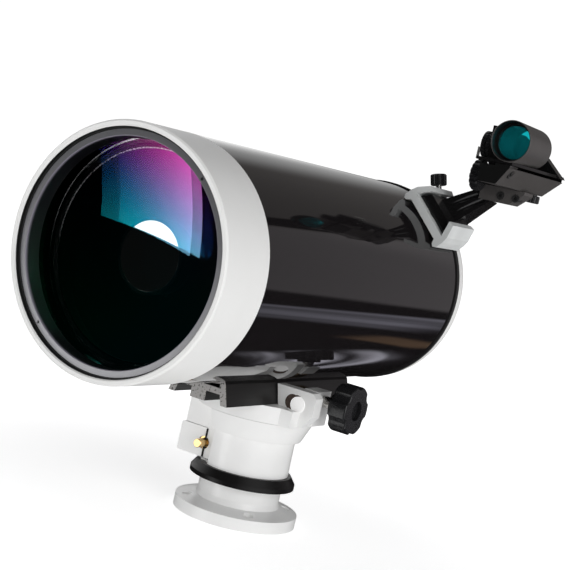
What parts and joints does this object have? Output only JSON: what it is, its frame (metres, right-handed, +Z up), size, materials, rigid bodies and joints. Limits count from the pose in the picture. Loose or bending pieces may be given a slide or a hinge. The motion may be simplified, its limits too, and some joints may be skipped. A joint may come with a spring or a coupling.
{
  "type": "maksutov telescope",
  "caption": "Short closed-tube telescope with a meniscus front lens, dovetail bar, red-dot finder and moving-mirror focuser, clamped on its declination head.",
  "frame": {"origin": "centre of the declination head's bottom flange", "axes": "-Y is where the telescope points; +Z is up, along the declination axis; +X is to the right seen from in front"},
  "size_m": [0.2006, 0.372, 0.3001],
  "materials": {
    "white_cell": "satin white enamel",
    "white_casting": "satin white enamel on cast aluminium",
    "shoe_casting": "pale grey paint on cast aluminium",
    "gloss_black": "deep gloss black lacquer",
    "trim_black": "black trim",
    "ring_grey": "dark grey anodised, satin",
    "corrector_glass": "multicoated optical glass",
    "finder_glass": "teal coated glass",
    "mirror": "aluminised",
    "inner_black": "matt black anodised",
    "bare_aluminium": "machined",
    "black_anodised": "black anodised extrusion",
    "steel": "plated steel",
    "brass": "bright brass",
    "knob_black": "moulded black plastic, low gloss",
    "focus_rubber": "ribbed rubber",
    "finder_plastic": "black moulded plastic",
    "finder_metal": "dark grey anodised",
    "emitter_red": "clear red",
    "film": "clear film"
  },
  "bodies": {
    "head": {"dec_housing": "white_casting", "worm_block": "white_casting", "worm_block_screws": "steel", "worm_bushes": "brass", "upper_bearing": "brass", "lower_bearing": "brass"},
    "setting_circle": {"setting_circle": "black_anodised"},
    "worm": {"worm_shaft": "brass"},
    "saddle": {"saddle": "white_casting", "dec_shaft": "steel", "worm_wheel": "brass", "dec_nut": "bare_aluminium"},
    "clamp_pad": {"clamp_pad": "brass"},
    "clamp_screw": {"clamp_screw": "steel", "clamp_knob": "knob_black"},
    "tube": {"front_cell": "white_cell", "corrector_lens": "corrector_glass", "secondary_spot": "mirror", "secondary_baffle": "inner_black", "retaining_ring": "ring_grey", "lens_gasket": "trim_black", "main_tube": "gloss_black", "rear_trim_ring": "trim_black", "rear_cell": "white_cell", "collimation_screws": "steel", "baffle_tube": "inner_black", "focus_bush": "brass", "visual_back": "black_anodised", "compression_ring": "brass", "dovetail_bar": "black_anodised", "bar_screws": "steel", "finder_shoe": "shoe_casting", "shoe_screws": "steel"},
    "mirror": {"primary_mirror": "mirror", "mirror_carrier": "bare_aluminium", "mirror_nut": "inner_black"},
    "focus": {"focus_screw": "steel", "focus_knob": "focus_rubber"},
    "visual_screw_upper": {"visual_back_screw_upper": "knob_black"},
    "visual_screw_side": {"visual_back_screw_side": "knob_black"},
    "shoe_screw": {"shoe_screw_head": "knob_black", "shoe_screw_shank": "steel"},
    "finder_foot": {"finder_arm": "finder_plastic", "finder_clamp": "finder_metal", "clamp_bolts": "steel", "pan_pin": "steel"},
    "finder_base": {"finder_base": "finder_metal", "tilt_pin": "steel"},
    "windage": {"windage_knob": "knob_black"},
    "elevation": {"elevation_knob": "knob_black"},
    "finder": {"finder_body": "finder_plastic", "finder_hood": "finder_metal", "finder_lens": "finder_glass", "finder_lens_ring": "finder_metal", "emitter": "emitter_red", "coin_battery": "steel"},
    "dial": {"brightness_dial": "knob_black"},
    "tab": {"battery_tab": "film"}
  },
  "joints": [
    {"name": "declination", "type": "hinge", "parent": "head", "child": "saddle", "pos_m": [0, 0, 0.04], "axis": [0, 0, 1], "continuous": true},
    {"name": "worm_turn", "type": "hinge", "parent": "head", "child": "worm", "pos_m": [-0.0236, 0, 0.0448], "axis": [0, -1, 0], "continuous": true},
    {"name": "setting_circle_turn", "type": "hinge", "parent": "head", "child": "setting_circle", "pos_m": [0, 0, 0.03], "axis": [0, 0, 1], "continuous": true},
    {"name": "clamp_pad_slide", "type": "slide", "parent": "saddle", "child": "clamp_pad", "axis": [1, 0, 0], "range_m": [0, 0.0025]},
    {"name": "clamp_turn", "type": "hinge", "parent": "clamp_pad", "child": "clamp_screw", "pos_m": [0.05, 0.013, 0.09], "axis": [1, 0, 0], "range_deg": [0, 720]},
    {"name": "bar_slide", "type": "slide", "parent": "saddle", "child": "tube", "axis": [0, 1, 0], "range_m": [-0.04, 0.045]},
    {"name": "mirror_slide", "type": "slide", "parent": "tube", "child": "mirror", "axis": [0, 1, 0], "range_m": [-0.005, 0.005]},
    {"name": "focus_turn", "type": "hinge", "parent": "tube", "child": "focus", "pos_m": [-0.042, 0.15, 0.17], "axis": [0, 1, 0], "range_deg": [-1800, 1800]},
    {"name": "visual_screw_upper_turn", "type": "hinge", "parent": "tube", "child": "visual_screw_upper", "pos_m": [0, 0.168, 0.194], "axis": [0, 0, 1], "range_deg": [0, 720]},
    {"name": "visual_screw_side_turn", "type": "hinge", "parent": "tube", "child": "visual_screw_side", "pos_m": [0.024, 0.168, 0.17], "axis": [1, 0, 0], "range_deg": [0, 720]},
    {"name": "shoe_screw_turn", "type": "hinge", "parent": "tube", "child": "shoe_screw", "pos_m": [0.04815, 0.105, 0.24502], "axis": [-0.2588, 0, 0.9659], "range_deg": [0, 1080]},
    {"name": "finder_slide", "type": "slide", "parent": "tube", "child": "finder_foot", "axis": [0, 1, 0], "range_m": [0, 0.04]},
    {"name": "finder_pan", "type": "hinge", "parent": "finder_foot", "child": "finder_base", "pos_m": [0.1002, 0.114, 0.256], "axis": [0, 0, 1], "range_deg": [-1.5, 1.5]},
    {"name": "windage_turn", "type": "hinge", "parent": "finder_base", "child": "windage", "pos_m": [0.084, 0.094, 0.2608], "axis": [-1, 0, 0], "range_deg": [-1080, 1080]},
    {"name": "finder_tilt", "type": "hinge", "parent": "finder_base", "child": "finder", "pos_m": [0.097, 0.075, 0.2645], "axis": [1, 0, 0], "range_deg": [-1.2, 1.2]},
    {"name": "elevation_turn", "type": "hinge", "parent": "finder_base", "child": "elevation", "pos_m": [0.1095, 0.13, 0.254], "axis": [0, 0, -1], "range_deg": [-1080, 1080]},
    {"name": "dial_turn", "type": "hinge", "parent": "finder", "child": "dial", "pos_m": [0.082, 0.1, 0.283], "axis": [-1, 0, 0], "range_deg": [0, 270]},
    {"name": "tab_pull", "type": "slide", "parent": "finder", "child": "tab", "axis": [-1, 0, 0], "range_m": [0, 0.012]}
  ],
  "couplings": [
    {"joint": "worm_turn", "follows": "declination", "ratio": 65},
    {"joint": "clamp_turn", "follows": "clamp_pad_slide", "rad_per_m": 5021.5},
    {"joint": "focus_turn", "follows": "mirror_slide", "rad_per_m": 6276.9},
    {"joint": "windage_turn", "follows": "finder_pan", "ratio": 719.28},
    {"joint": "elevation_turn", "follows": "finder_tilt", "ratio": 899.1}
  ]
}
